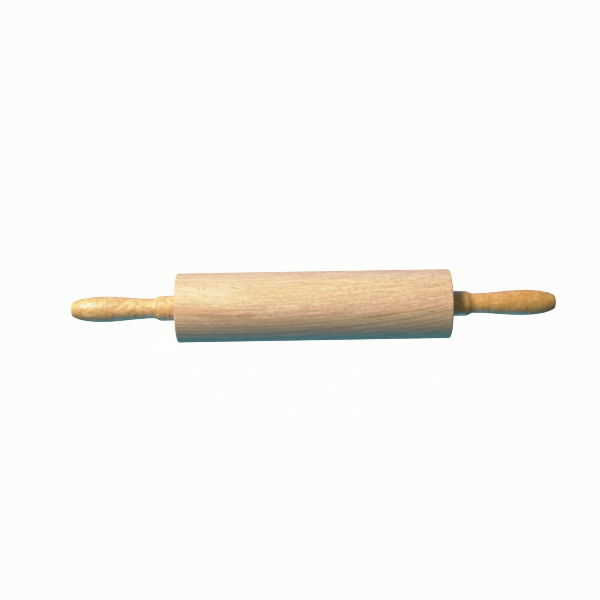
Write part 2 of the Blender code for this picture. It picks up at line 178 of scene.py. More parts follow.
class Workpiece:
    """A mesh in the making, on the pin's axis at y = z = 0."""

    def __init__(self) -> None:
        """Starts with nothing on the lathe."""
        self.body = bmesh.new()

    @classmethod
    def turned(cls, outline: list[Point], steps: int, ring: bool = True) -> "Workpiece":
        """Spins an outline about the pin's axis.

        Args:
            outline: points of x and radius.
            steps: number of facets around.
            ring: whether the outline is a closed loop off the axis, or starts and ends on it.

        Returns:
            The turned piece, closed and facing outwards.
        """
        piece = cls()
        points = [piece.body.verts.new((x, 0, radius)) for x, radius in outline]
        ends = points[1:] + points[:1] if ring else points[1:]
        for first, second in zip(points, ends):
            piece.body.edges.new((first, second))
        piece.spin(steps)
        piece.close_up()
        return piece

    def spin(self, steps: int) -> None:
        """Carries the points and edges once round the pin's axis.

        Args:
            steps: number of facets around.
        """
        bmesh.ops.spin(
            self.body,
            geom=self.body.verts[:] + self.body.edges[:],
            cent=(0, 0, 0),
            axis=(1, 0, 0),
            angle=math.tau,
            steps=steps,
            use_merge=True,
        )
        bmesh.ops.remove_doubles(self.body, verts=self.body.verts, dist=WELD_DISTANCE)

    def close_up(self) -> None:
        """Welds what meets and turns every face outwards."""
        bmesh.ops.remove_doubles(self.body, verts=self.body.verts, dist=WELD_DISTANCE)
        bmesh.ops.recalc_face_normals(self.body, faces=self.body.faces)

    def ease_edges(self, width: float, segments: int) -> None:
        """Rounds the sharp edges.

        Args:
            width: width of the rounding.
            segments: facets across it.
        """
        limit = math.radians(SHARP_ANGLE)
        sharp = [edge for edge in self.body.edges if edge.is_manifold and edge.calc_face_angle() > limit]
        bmesh.ops.bevel(
            self.body,
            geom=sharp,
            offset=width,
            offset_type="OFFSET",
            segments=segments,
            profile=0.5,
            affect="EDGES",
            material=-1,
            clamp_overlap=True,
        )

    def cut_thread(self, thread: Thread, start: float, end: float, crest: float) -> None:
        """Threads both ends of a rod.

        Args:
            thread: its shape.
            start: distance from the pin's middle where it begins.
            end: distance where it ends.
            crest: radius of the points that it moves.
        """
        for vert in self.body.verts:
            reach = math.hypot(vert.co.y, vert.co.z)
            if abs(reach - crest) < 10 * WELD_DISTANCE:
                inset = min(abs(vert.co.x) - start, end - abs(vert.co.x))
                cut = thread.cut(vert.co.x, math.atan2(vert.co.y, vert.co.z), inset)
                vert.co.yz *= 1 - cut / reach

    def turn_round(self) -> None:
        """Turns the piece half round about Z."""
        half_turn = Matrix.Rotation(math.pi, 3, "Z")
        bmesh.ops.rotate(self.body, cent=(0, 0, 0), matrix=half_turn, verts=self.body.verts)

    def move(self, way: Place) -> None:
        """Moves the piece."""
        bmesh.ops.translate(self.body, vec=way, verts=self.body.verts)

    def carry_to(self, side: Side) -> None:
        """Turns a right-hand piece to its end of the pin and lifts it to the pin's axis.

        Args:
            side: the end that it belongs to.
        """
        if side is Side.LEFT:
            self.turn_round()
        self.move((0, 0, AXIS_HEIGHT))

    def mesh(self, name: str, smooth_below: float) -> bpy.types.Mesh:
        """Ends the work.

        Args:
            name: name of the mesh.
            smooth_below: angle in degrees under which faces are shaded as one.

        Returns:
            The finished mesh.
        """
        made = bpy.data.meshes.new(name)
        self.body.to_mesh(made)
        self.body.free()
        made.shade_smooth()
        made.set_sharp_from_angle(angle=math.radians(smooth_below))
        return made


class Recipe:
    """Places shader nodes in one tree and joins them as it goes."""

    def __init__(self, tree: bpy.types.NodeTree) -> None:
        """Keeps the tree that the nodes go into."""
        self.tree = tree

    def add(self, kind: str, feeds: dict[Any, Any] | None = None, **settings: Any) -> bpy.types.Node:
        """Adds a node.

        Args:
            kind: Blender's name for the node type.
            feeds: what goes into its inputs, by name or number: a socket or a value.
            settings: the node's own properties.

        Returns:
            The node.
        """
        made = self.tree.nodes.new(kind)
        for name, value in settings.items():
            setattr(made, name, value)
        for key, value in (feeds or {}).items():
            self.feed(made.inputs[key], value)
        return made

    def feed(self, socket: Socket, value: Any) -> None:
        """Joins a socket to another one, or gives it a value.

        Args:
            socket: the input.
            value: a socket or a value.
        """
        if isinstance(value, Socket):
            self.tree.links.new(value, socket)
        else:
            socket.default_value = value

    def math(self, operation: str, *values: Any) -> Socket:
        """The result of a Math node on up to three values."""
        return self.add("ShaderNodeMath", dict(enumerate(values)), operation=operation).outputs[0]

    def stretch(self, vector: Any, factors: Any) -> Socket:
        """The vector multiplied by a factor for each axis."""
        return self.add("ShaderNodeVectorMath", {0: vector, 1: factors}, operation="MULTIPLY").outputs[0]

    def length(self, vector: Any) -> Socket:
        """The length of a vector."""
        return self.add("ShaderNodeVectorMath", {0: vector}, operation="LENGTH").outputs["Value"]

    def split(self, vector: Any) -> list[Socket]:
        """The three parts of a vector."""
        return list(self.add("ShaderNodeSeparateXYZ", {0: vector}).outputs)

    def joined(self, x: Any, y: Any, z: Any) -> Socket:
        """A vector from its three parts."""
        return self.add("ShaderNodeCombineXYZ", {0: x, 1: y, 2: z}).outputs[0]

    def about_axis(self, vector: Any) -> tuple[Socket, Socket, Socket, Socket]:
        """The three parts of a vector and its distance from the X axis."""
        along, across, up = self.split(vector)
        return along, across, up, self.length(self.joined(0.0, across, up))

    def noise(self, vector: Any, scale: float = 1.0, detail: float = 2.0) -> Socket:
        """Soft noise from 0 to 1."""
        feeds = {"Vector": vector, "Scale": scale, "Detail": detail}
        return self.add("ShaderNodeTexNoise", feeds).outputs[0]

    def ramp(self, value: Any, low: float, high: float, start: Any = 0.0, end: Any = 1.0) -> Socket:
        """Smooth step of a value, which gives start up to low and end from high on."""
        feeds = {0: value, 1: low, 2: high, 3: start, 4: end}
        return self.add("ShaderNodeMapRange", feeds, interpolation_type="SMOOTHSTEP").outputs[0]

    def tint(self, share: Any, first: Any, second: Any) -> Socket:
        """Mix of two colours, in which the share tells how much of the second one shows."""
        feeds = {0: share, 6: opaque(first), 7: opaque(second)}
        return self.add("ShaderNodeMix", feeds, data_type="RGBA").outputs[2]

    def bump(self, height: Any, depth: float, below: Any = None) -> Socket:
        """Normal of a surface with small relief.

        Args:
            height: relief from 0 to 1.
            depth: height of the relief in metres.
            below: normal of a coarser relief that this one lies on.

        Returns:
            The socket with the normal.
        """
        feeds = {"Height": height, "Distance": depth, "Strength": 1.0}
        if below is not None:
            feeds["Normal"] = below
        return self.add("ShaderNodeBump", feeds).outputs[0]


def opaque(colour: Any) -> Any:
    """A colour with its alpha of 1; a socket stays as it is."""
    return (*colour, 1.0) if isinstance(colour, tuple) else colour


class Effect:
    """A surface effect that several finishes share, kept as one node group.

    Attributes:
        name: name of the group.
        takes: its inputs besides the vector, all of them plain values.
        gives: its outputs, all of them plain values.
    """

    name = ""
    takes: tuple[str, ...] = ()
    gives: tuple[str, ...] = ()

    def draw(self, recipe: Recipe, given: Any) -> dict[str, Socket]:
        """Builds the effect inside its group; each effect has its own way."""
        raise NotImplementedError

    def tree(self) -> bpy.types.NodeTree:
        """Makes the effect's node group the first time that it is asked for.

        Returns:
            The group.
        """
        found = bpy.data.node_groups.get(self.name)
        if found is not None:
            return found
        made = bpy.data.node_groups.new(self.name, "ShaderNodeTree")
        sockets = [("Vector", "INPUT", "NodeSocketVector")]
        sockets += [(label, "INPUT", "NodeSocketFloat") for label in self.takes]
        sockets += [(label, "OUTPUT", "NodeSocketFloat") for label in self.gives]
        for label, way, kind in sockets:
            made.interface.new_socket(name=label, in_out=way, socket_type=kind)
        recipe = Recipe(made)
        results = self.draw(recipe, recipe.add("NodeGroupInput").outputs)
        recipe.add("NodeGroupOutput", results)
        return made

    def place(self, recipe: Recipe, **values: Any) -> Any:
        """Puts the effect into a material; in the inputs' names an underscore stands for a space."""
        feeds = {label.replace("_", " "): value for label, value in values.items()}
        return recipe.add("ShaderNodeGroup", feeds, node_tree=self.tree()).outputs


@dataclass(frozen=True)
class Rays:
    """Upright sheets in the wood that show as dashes or patches, one in a cell.

    Attributes:
        stretch: cells to a metre along the grain, round the heart and out from it.
        disorder: how unevenly the cells lie.
        core: distance from a cell's middle up to which its ray is full.
        edge: distance at which it ends.
        channel: which of the cell's three random numbers rules its strength.
        rare: random number up to which the cell stays empty.
        sure: random number from which on its ray is full.
    """

    stretch: Place
    disorder: float
    core: float
    edge: float
    channel: int
    rare: float
    sure: float

    def mask(self, recipe: Recipe, place: Socket) -> Socket:
        """Draws the rays.

        Args:
            recipe: the group's recipe.
            place: coordinates along the grain, round the heart and out from it.

        Returns:
            The mask of the rays.
        """
        feeds = {"Vector": recipe.stretch(place, self.stretch), "Scale": 1.0, "Randomness": self.disorder}
        cells = recipe.add("ShaderNodeTexVoronoi", feeds).outputs
        body = recipe.ramp(cells["Distance"], self.core, self.edge, 1.0, 0.0)
        chance = recipe.split(cells["Color"])[self.channel]
        return recipe.math("MULTIPLY", body, recipe.ramp(chance, self.rare, self.sure))


class WoodFigure(Effect):
    """Growth rings, fibres and rays of beech, about a heart line that runs along X."""

    name = "wood_figure"
    takes = ("Ring Width", "Heart Distance", "Sweep", "Sweep Start", "Wander")
    gives = ("Rings", "Fibres", "Flecks", "Spots", "Silk", "Drift")
    wander_stretch = (7.0, 26.0, 26.0)
    coarse_stretch = (20.0, 430.0, 430.0)
    fine_stretch = (90.0, 2600.0, 2600.0)
    fine_share = 0.6
    silk_stretch = (190.0, 640.0, 640.0)
    drift_stretch = (9.0, 60.0, 90.0)
    group_stretch = (38.0, 90.0, 90.0)
    small_rays = Rays((210.0, 1250.0, 620.0), 0.9, 0.22, 0.55, 0, 0.25, 1.0)
    large_rays = Rays((170.0, 620.0, 420.0), 1.0, 0.10, 0.42, 1, 0.45, 0.8)

    def draw(self, recipe: Recipe, given: Any) -> dict[str, Socket]:
        """Works in the tree's own directions: along the grain, round the heart and out from it.

        Args:
            recipe: the group's recipe.
            given: the group's inputs.

        Returns:
            The masks; the spots are the larger rays, gathered in groups.
        """
        along, across, up, radius = recipe.about_axis(given["Vector"])
        slow = recipe.noise(recipe.stretch(given["Vector"], self.wander_stretch), detail=1.0)
        wander = recipe.math("MULTIPLY", recipe.math("SUBTRACT", slow, 0.5), given["Wander"])
        bent = recipe.math("SUBTRACT", along, given["Sweep Start"])
        lift = recipe.math("MULTIPLY", recipe.math("MULTIPLY", bent, bent), given["Sweep"])
        out = recipe.math("ADD", recipe.math("ADD", radius, lift), wander)
        around = recipe.math("MULTIPLY", recipe.math("ARCTAN2", up, across), given["Heart Distance"])
        place = recipe.joined(along, around, out)
        coarse = recipe.noise(recipe.stretch(place, self.coarse_stretch), detail=3.0)
        fine = recipe.noise(recipe.stretch(place, self.fine_stretch), detail=2.0)
        crossing = recipe.math("SUBTRACT", fine, 0.5)
        group = recipe.ramp(recipe.noise(recipe.stretch(place, self.group_stretch)), 0.46, 0.62)
        return {
            "Rings": self.rings(recipe, out, given["Ring Width"]),
            "Fibres": recipe.math("MULTIPLY_ADD", crossing, self.fine_share, coarse),
            "Flecks": self.small_rays.mask(recipe, place),
            "Spots": recipe.math("MULTIPLY", self.large_rays.mask(recipe, place), group),
            "Silk": recipe.noise(recipe.stretch(place, self.silk_stretch), detail=3.0),
            "Drift": recipe.noise(recipe.stretch(place, self.drift_stretch), detail=2.0),
        }

    def rings(self, recipe: Recipe, out: Socket, width: Socket) -> Socket:
        """Late wood: each year darkens slowly and ends at a clear line.

        Args:
            recipe: the group's recipe.
            out: distance from the heart.
            width: mean thickness of a year's growth.

        Returns:
            The mask of the late wood.
        """
        years = recipe.math("DIVIDE", out, width)
        uneven = recipe.add("ShaderNodeTexNoise", {"W": years, "Scale": 0.31}, noise_dimensions="1D")
        years = recipe.math("MULTIPLY_ADD", uneven.outputs[0], 1.2, years)
        season = recipe.math("FRACT", years)
        growing = recipe.ramp(season, 0.30, 0.80)
        ending = recipe.ramp(season, 0.88, 1.0, 1.0, 0.0)
        number = recipe.math("FLOOR", years)
        chance = recipe.add("ShaderNodeTexWhiteNoise", {"W": number}, noise_dimensions="1D").outputs[0]
        strength = recipe.ramp(chance, 0.0, 1.0, 0.45, 1.0)
        return recipe.math("MULTIPLY", recipe.math("MULTIPLY", growing, ending), strength)


class ToolMarks(Effect):
    """Traces on a worked surface: rings of a lathe, lines of a drawing die, and smudges."""

    name = "tool_marks"
    takes = ("Pitch",)
    gives = ("Turned", "Drawn", "Smudged")
    drawn_share = 0.02
    smudge_scale = 420.0

    def draw(self, recipe: Recipe, given: Any) -> dict[str, Socket]:
        """Works on a vector whose origin lies on the pin's axis.

        Args:
            recipe: the group's recipe.
            given: the group's inputs.

        Returns:
            The traces.
        """
        fineness = recipe.math("DIVIDE", 1.0, given["Pitch"])
        slender = recipe.math("MULTIPLY", fineness, self.drawn_share)
        along, across, up, radius = recipe.about_axis(given["Vector"])
        section = (recipe.math("MULTIPLY", part, fineness) for part in (along, radius))
        lines = [recipe.math("MULTIPLY", along, slender)]
        lines += [recipe.math("MULTIPLY", part, fineness) for part in (across, up)]
        return {
            "Turned": recipe.noise(recipe.joined(*section, 0.0), detail=3.0),
            "Drawn": recipe.noise(recipe.joined(*lines), detail=3.0),
            "Smudged": recipe.noise(given["Vector"], scale=self.smudge_scale, detail=4.0),
        }


class GrainMark(Effect):
    """One streak, knot or fleck at a place of its own on a turned piece."""

    name = "grain_mark"
    takes = ("Place", "Turn", "Length", "Width", "Lean")
    gives = ("Mark",)
    fray_stretch = (120.0, 700.0, 700.0)
    solid_share = 0.25

    def draw(self, recipe: Recipe, given: Any) -> dict[str, Socket]:
        """Works on a vector whose origin lies on the pin's axis.

        Args:
            recipe: the group's recipe.
            given: the group's inputs.

        Returns:
            The mask of the mark.
        """
        along, across, up, radius = recipe.about_axis(given["Vector"])
        turn = recipe.math("ARCTAN2", up, recipe.math("MULTIPLY", across, -1.0))
        ahead = recipe.math("SUBTRACT", along, given["Place"])
        aside = recipe.math("MULTIPLY", recipe.math("SUBTRACT", turn, given["Turn"]), radius)
        frayed = recipe.noise(recipe.stretch(given["Vector"], self.fray_stretch), detail=3.0)
        strayed = recipe.math("MULTIPLY_ADD", recipe.math("SUBTRACT", frayed, 0.5), given["Width"], aside)
        strayed = recipe.math("SUBTRACT", strayed, recipe.math("MULTIPLY", ahead, given["Lean"]))
        inside = recipe.joined(
            recipe.math("DIVIDE", ahead, given["Length"]),
            recipe.math("DIVIDE", strayed, given["Width"]),
            0.0,
        )
        return {"Mark": recipe.ramp(recipe.length(inside), self.solid_share, 1.0, 1.0, 0.0)}


WOOD_FIGURE = WoodFigure()
TOOL_MARKS = ToolMarks()
GRAIN_MARK = GrainMark()


@dataclass(frozen=True)
class Fault:
    """A natural mark in the wood.

    Attributes:
        place: x in millimetres.
        turn: degrees above the side that faces the user.
        length: half its length in millimetres.
        width: half its width in millimetres.
        strength: how much of its colour shows.
        lean: rise along the pin.
    """

    place: float
    turn: float
    length: float
    width: float
    strength: float
    lean: float = 0.0

    def lay_over(self, recipe: Recipe, vector: Socket, ground: Socket, colour: Colour) -> Socket:
        """Draws the mark.

        Args:
            recipe: the material's recipe.
            vector: coordinates whose origin lies on the pin's axis.
            ground: colour below the mark.
            colour: colour of the mark.

        Returns:
            The colour with the mark in it.
        """
        mark = GRAIN_MARK.place(
            recipe,
            Vector=vector,
            Place=self.place * MILLIMETRE,
            Turn=math.radians(self.turn),
            Length=self.length * MILLIMETRE,
            Width=self.width * MILLIMETRE,
            Lean=self.lean,
        )["Mark"]
        return recipe.tint(recipe.math("MULTIPLY", mark, self.strength), ground, colour)


@dataclass(frozen=True)
class Layer:
    """A tone that darkens the wood where a mask is strong.

    Attributes:
        mask: name of the mask.
        tone: the wood's tone that is laid on.
        strength: how much of it shows at most.
        low: value of the mask from which on it shows; without it, the mask is taken as it is.
        high: value at which all of it shows.
    """

    mask: str
    tone: Tone
    strength: float
    low: float | None = None
    high: float = 1.0

    def share(self, recipe: Recipe, mask: Socket) -> Socket:
        """How much of the tone shows.

        Args:
            recipe: the material's recipe.
            mask: the mask.

        Returns:
            The share, from 0 to the layer's strength.
        """
        if self.low is None:
            return recipe.math("MULTIPLY", mask, self.strength)
        return recipe.ramp(mask, self.low, self.high, 0.0, self.strength)


class Finish:
    """A material made of shader nodes around one Principled shader.

    Attributes:
        name: name of the material.
        slot: the record's material slot that it is for; the script doesn't use it.
    """

    name: str
    slot: str
    mixed: ClassVar[dict[str, bpy.types.Material]] = {}

    def dress(self, recipe: Recipe, shader: bpy.types.Node) -> None:
        """Feeds the shader; each finish has its own way."""
        raise NotImplementedError

    def material(self) -> bpy.types.Material:
        """Mixes the finish's material the first time that it is asked for.

        Returns:
            The material.
        """
        if self.name not in self.mixed:
            made = bpy.data.materials.new(self.name)
            made.use_nodes = True
            self.dress(Recipe(made.node_tree), made.node_tree.nodes["Principled BSDF"])
            self.mixed[self.name] = made
        return self.mixed[self.name]

    def measured_from(self, recipe: Recipe, origin: Place) -> Socket:
        """Object coordinates with another origin."""
        feeds = {"Vector": recipe.add("ShaderNodeTexCoord").outputs["Object"], "Location": origin}
        return recipe.add("ShaderNodeMapping", feeds, vector_type="TEXTURE").outputs[0]

    def from_axis(self, recipe: Recipe) -> Socket:
        """Object coordinates whose origin lies on the pin's axis."""
        return self.measured_from(recipe, (0.0, 0.0, AXIS_HEIGHT))


@dataclass(frozen=True)
class Timber(Finish):
    """How a piece was sawn from its log, and what lies over the wood's ground.

    Attributes:
        heart_distance: from the pin's axis to the heart of the tree.
        heart_angle: direction of the heart, in degrees above the side that faces the user.
        ring_width: mean thickness of a year's growth.
        sweep: curvature of the grain along the pin, per metre.
        sweep_start: x at which the bent grain runs parallel to the pin.
        wander: how far the rings stray.
        ray: colour of the rays, also laid over the end grain.
        layers: tones laid over the ground, in order.
        end_strength: how much the end grain is darkened.
    """

    name: str
    slot: str
    heart_distance: float
    heart_angle: float
    ring_width: float
    sweep: float
    sweep_start: float
    wander: float
    ray: Colour
    layers: tuple[Layer, ...]
    end_strength: float

    def figure(self, recipe: Recipe) -> Any:
        """Places the wood's figure.

        Args:
            recipe: the material's recipe.

        Returns:
            The outputs of the figure, by name.
        """
        angle = math.radians(self.heart_angle)
        across = -self.heart_distance * math.cos(angle)
        up = AXIS_HEIGHT + self.heart_distance * math.sin(angle)
        return WOOD_FIGURE.place(
            recipe,
            Vector=self.measured_from(recipe, (0.0, across, up)),
            Ring_Width=self.ring_width,
            Heart_Distance=self.heart_distance,
            Sweep=self.sweep,
            Sweep_Start=self.sweep_start,
            Wander=self.wander,
        )

    def layered(self, recipe: Recipe, ground: Socket, masks: Any) -> Socket:
        """Lays the tones over the ground.

        Args:
            recipe: the material's recipe.
            ground: the colour below.
            masks: all masks, by name.

        Returns:
            The colour with all tones in it.
        """
        for layer in self.layers:
            share = layer.share(recipe, masks[layer.mask])
            ground = recipe.tint(share, ground, getattr(self, layer.tone.value))
        return ground

    def with_end_grain(self, recipe: Recipe, sides: Socket) -> Socket:
        """Darkens the faces that are cut across the grain.

        Args:
            recipe: the material's recipe.
            sides: colour of the faces that run with the grain.

        Returns:
            The colour of both.
        """
        normal = recipe.add("ShaderNodeNewGeometry").outputs["True Normal"]
        facing = recipe.math("ABSOLUTE", recipe.split(normal)[0])
        end = recipe.ramp(facing, 0.55, 0.95)
        return recipe.tint(recipe.math("MULTIPLY", end, self.end_strength), sides, self.ray)


@dataclass(frozen=True)
class SandedBeech(Timber):
    """Bare beech, sanded smooth and kept dry: matt, pale and faintly pink."""

    name: str = "sanded_beech"
    slot: str = "beech_sanded"
    heart_distance: float = 0.150
    heart_angle: float = 112.0
    ring_width: float = 0.0035
    sweep: float = 0.46
    sweep_start: float = -0.078
    wander: float = 0.0016
    early: Colour = (0.93, 0.63, 0.36)
    late: Colour = (0.58, 0.335, 0.16)
    warm: Colour = (0.87, 0.54, 0.28)
    ray: Colour = (0.50, 0.29, 0.14)
    pore: Colour = (0.34, 0.19, 0.085)
    bruise: Colour = (0.50, 0.27, 0.10)
    silk_tint: Colour = (1.0, 0.85, 0.75)
    dust_tint: Colour = (0.62, 0.82, 1.0)
    # Above the axis the rings fade with height, down to the given share of their strength at the top, so the
    # top is lighter.
    ring_fade_height: float = 0.020
    top_ring_strength: float = 0.34
    end_strength: float = 0.35
    layers: tuple[Layer, ...] = (
        Layer("Silk", Tone.LATE, 0.45, 0.36, 0.70),
        Layer("Fibres", Tone.LATE, 0.55, 0.34, 0.68),
        Layer("Flecks", Tone.RAY, 0.55),
        Layer("Spots", Tone.PORE, 0.42),
    )
    faults: tuple[Fault, ...] = (
        Fault(-91.0, 14.0, 28.0, 1.3, 0.65, -0.054),
        Fault(-84.0, 9.5, 22.0, 1.1, 0.55, -0.060),
        Fault(-60.0, 13.0, 10.0, 4.4, 0.50),
        Fault(-67.0, 12.0, 3.0, 1.5, 0.95),
        Fault(62.0, 9.5, 25.0, 1.7, 0.85, 0.144),
        Fault(104.0, 21.0, 24.0, 1.1, 0.50, 0.200),
        Fault(-102.8, 59.7, 1.8, 1.5, 0.90),
        Fault(-98.3, 59.6, 1.8, 1.5, 0.80),
        Fault(-72.0, 60.6, 2.2, 1.5, 0.60),
        Fault(-68.5, 58.5, 1.8, 1.4, 0.60),
        Fault(23.2, 55.3, 2.0, 1.3, 0.60),
        Fault(38.4, 54.8, 1.8, 1.6, 0.65),
        Fault(44.6, 54.6, 1.8, 1.6, 0.65),
        Fault(70.0, 46.8, 5.0, 1.0, 0.45),
        Fault(109.0, 59.8, 4.0, 1.4, 0.55),
        Fault(105.0, 15.0, 3.6, 1.2, 0.90),
        Fault(13.0, -18.0, 34.0, 1.9, 0.50, 0.120),
        Fault(70.0, -150.0, 16.0, 1.2, 0.50, 0.060),
        Fault(-45.0, 165.0, 2.6, 1.6, 0.55),
        Fault(-20.0, 118.0, 22.0, 0.9, 0.40, 0.050),
        Fault(20.0, -95.0, 2.2, 1.4, 0.50),
    )

    def dress(self, recipe: Recipe, shader: bpy.types.Node) -> None:
        """Lays rings, fibres, rays and faults over the pale ground colour.

        Args:
            recipe: the material's recipe.
            shader: the material's shader.
        """
        figure = self.figure(recipe)
        from_axis = self.from_axis(recipe)
        ground = recipe.tint(recipe.ramp(figure["Drift"], 0.35, 0.7), self.early, self.warm)
        # The rings grow weaker towards the top, which leaves the top of the barrel lighter.
        clearness = recipe.ramp(
            recipe.split(from_axis)[2], 0.0, self.ring_fade_height, 1.0, self.top_ring_strength
        )
        ringed = recipe.tint(recipe.math("MULTIPLY", figure["Rings"], clearness), ground, self.late)
        marked = self.layered(recipe, ringed, figure)
        for fault in self.faults:
            marked = fault.lay_over(recipe, from_axis, marked, self.bruise)
        recipe.feed(shader.inputs["Base Color"], self.with_end_grain(recipe, marked))
        recipe.feed(shader.inputs["Roughness"], recipe.ramp(figure["Fibres"], 0.2, 0.8, 0.50, 0.62))
        shader.inputs["Specular IOR Level"].default_value = 0.7
        shader.inputs["Specular Tint"].default_value = opaque(self.silk_tint)
        shader.inputs["Sheen Weight"].default_value = 0.25
        shader.inputs["Sheen Roughness"].default_value = 0.4
        shader.inputs["Sheen Tint"].default_value = opaque(self.dust_tint)
        relief = recipe.math("MULTIPLY_ADD", figure["Flecks"], -0.5, figure["Fibres"])
        relief = recipe.math("MULTIPLY_ADD", figure["Spots"], -1.0, relief)
        recipe.feed(shader.inputs["Normal"], recipe.bump(relief, 0.05 * MILLIMETRE))


@dataclass(frozen=True)
class VarnishedBeech(Timber):
    """Beech under a thick clear varnish that has gone amber, with the lathe's rings below it."""

    name: str = "varnished_beech_pale"
    slot: str = "beech_varnished"
    heart_distance: float = 0.055
    heart_angle: float = 115.0
    ring_width: float = 0.0017
    sweep: float = 0.5
    sweep_start: float = 0.0
    wander: float = 0.0022
    early: Colour = (0.90, 0.57, 0.225)
    late: Colour = (0.60, 0.31, 0.085)
    warm: Colour = (0.78, 0.45, 0.14)
    ray: Colour = (0.50, 0.25, 0.065)
    patch_scale: float = 95.0
    mottle_scale: float = 250.0
    mottling: float = 0.8
    pool_scale: float = 390.0
    wave_scale: float = 260.0
    wave_height: float = 0.50 * MILLIMETRE
    lathe_pitch: float = 2.4 * MILLIMETRE
    end_strength: float = 0.4
    layers: tuple[Layer, ...] = (
        Layer("Rings", Tone.LATE, 0.45),
        Layer("Silk", Tone.LATE, 0.45, 0.40, 0.70),
        Layer("Flecks", Tone.RAY, 0.5),
        Layer("Spots", Tone.RAY, 0.6),
        Layer("Turned", Tone.LATE, 0.45, 0.46, 0.68),
    )

    def dress(self, recipe: Recipe, shader: bpy.types.Node) -> None:
        """Lays the wood's figure and the lathe's rings under an uneven gloss.

        Args:
            recipe: the material's recipe.
            shader: the material's shader.
        """
        from_axis = self.from_axis(recipe)
        marks = TOOL_MARKS.place(recipe, Vector=from_axis, Pitch=self.lathe_pitch)
        masks = {**dict(self.figure(recipe).items()), **dict(marks.items())}
        patches = recipe.noise(from_axis, scale=self.patch_scale, detail=3.0)
        ground = recipe.tint(recipe.ramp(patches, 0.38, 0.62), self.early, self.warm)
        mottle = recipe.noise(from_axis, scale=self.mottle_scale, detail=2.0)
        mottled = recipe.tint(recipe.ramp(mottle, 0.46, 0.66, 0.0, self.mottling), ground, self.late)
        cut = self.layered(recipe, mottled, masks)
        recipe.feed(shader.inputs["Base Color"], self.with_end_grain(recipe, cut))
        recipe.feed(shader.inputs["Roughness"], recipe.ramp(masks["Smudged"], 0.3, 0.7, 0.34, 0.50))
        pooled = recipe.noise(recipe.stretch(from_axis, (1.0, 0.7, 0.7)), scale=self.pool_scale)
        recipe.feed(shader.inputs["Coat Weight"], recipe.ramp(pooled, 0.47, 0.62, 0.0, 0.8))
        shader.inputs["Coat Roughness"].default_value = 0.16
        waves = recipe.bump(recipe.noise(from_axis, scale=self.wave_scale), self.wave_height)
        fine = recipe.math("MULTIPLY_ADD", masks["Turned"], 0.8, masks["Fibres"])
        recipe.feed(shader.inputs["Normal"], recipe.bump(fine, 0.035 * MILLIMETRE, waves))


@dataclass(frozen=True)
class Metal(Finish):
    """Bare or plated metal with the traces of the tool that made it.

    Attributes:
        colour: colour of the clean metal.
        stain: colour where oil and handling have dulled it.
        roughness: least roughness.
        marks: the traces that show.
        pitch: distance in millimetres from one trace to the next.
        relief: depth of the traces in millimetres.
        trace_stain: how much the traces are stained.
        dulling: what smudges add to the roughness.
        trace_roughness: what traces add to it.
    """

    name: str
    slot: str
    colour: Colour
    stain: Colour
    roughness: float
    marks: Marks
    pitch: float
    relief: float
    trace_stain: float = 0.25
    dulling: float = 0.12
    trace_roughness: float = 0.10

    def dress(self, recipe: Recipe, shader: bpy.types.Node) -> None:
        """Lets the traces and smudges change colour, gloss and relief.

        Args:
            recipe: the material's recipe.
            shader: the material's shader.
        """
        marks = TOOL_MARKS.place(recipe, Vector=self.from_axis(recipe), Pitch=self.pitch * MILLIMETRE)
        dull = recipe.ramp(marks["Smudged"], 0.40, 0.72)
        trace = marks[self.marks.value]
        traced = recipe.ramp(trace, 0.3, 0.7, 0.0, self.trace_stain)
        clean = recipe.tint(traced, self.colour, self.stain)
        recipe.feed(shader.inputs["Base Color"], recipe.tint(dull, clean, self.stain))
        stained = recipe.math("MULTIPLY_ADD", dull, self.dulling, self.roughness)
        rough = recipe.math("MULTIPLY_ADD", trace, self.trace_roughness, stained)
        recipe.feed(shader.inputs["Roughness"], rough)
        recipe.feed(shader.inputs["Normal"], recipe.bump(trace, self.relief * MILLIMETRE))
        shader.inputs["Metallic"].default_value = 1.0


BARREL_BEECH = SandedBeech()
HANDLE_BEECH = {
    Side.LEFT: VarnishedBeech(),
    Side.RIGHT: VarnishedBeech(
        name="varnished_beech_deep",
        heart_angle=60.0,
        mottling=0.5,
        wave_height=0.3 * MILLIMETRE,
        early=(0.88, 0.48, 0.118),
        late=(0.52, 0.25, 0.05),
        warm=(0.73, 0.36, 0.074),
        ray=(0.43, 0.20, 0.036),
    ),
}
BRIGHT_STEEL = Metal(
    "drawn_steel", "bright_steel", (0.66, 0.66, 0.65), (0.42, 0.41, 0.39), 0.24, Marks.DRAWN, 0.25, 0.004
)
RACE_STEEL = Metal(
    "ground_steel", "bearing_steel", (0.62, 0.62, 0.64), (0.44, 0.43, 0.42), 0.16, Marks.TURNED, 0.12, 0.002
)
BALL_STEEL = Metal(
    "polished_steel", "ball_steel", (0.74, 0.74, 0.76), (0.60, 0.60, 0.60), 0.05, Marks.SMUDGED, 0.5, 0.0005
)
CAGE_STEEL = Metal(
    "strip_steel", "pressed_steel", (0.56, 0.53, 0.47), (0.38, 0.34, 0.28), 0.30, Marks.DRAWN, 0.3, 0.004
)
SHIELD_STEEL = Metal(
    "sheet_steel", "shield_steel", (0.60, 0.60, 0.60), (0.42, 0.41, 0.40), 0.24, Marks.TURNED, 0.2, 0.003
)
SPRING_STEEL = Metal(
    "phosphated_steel", "spring_steel", (0.10, 0.10, 0.11), (0.05, 0.045, 0.04), 0.34,
    Marks.SMUDGED, 0.3, 0.004,
)
ZINC = Metal(
    "zinc_plate", "zinc_plated_steel", (0.68, 0.70, 0.72), (0.48, 0.49, 0.47), 0.26, Marks.SMUDGED, 0.3, 0.003
)
BRASS = Metal(
    "turned_brass", "brass", (0.78, 0.57, 0.27), (0.50, 0.33, 0.14), 0.22, Marks.TURNED, 0.25, 0.004
)


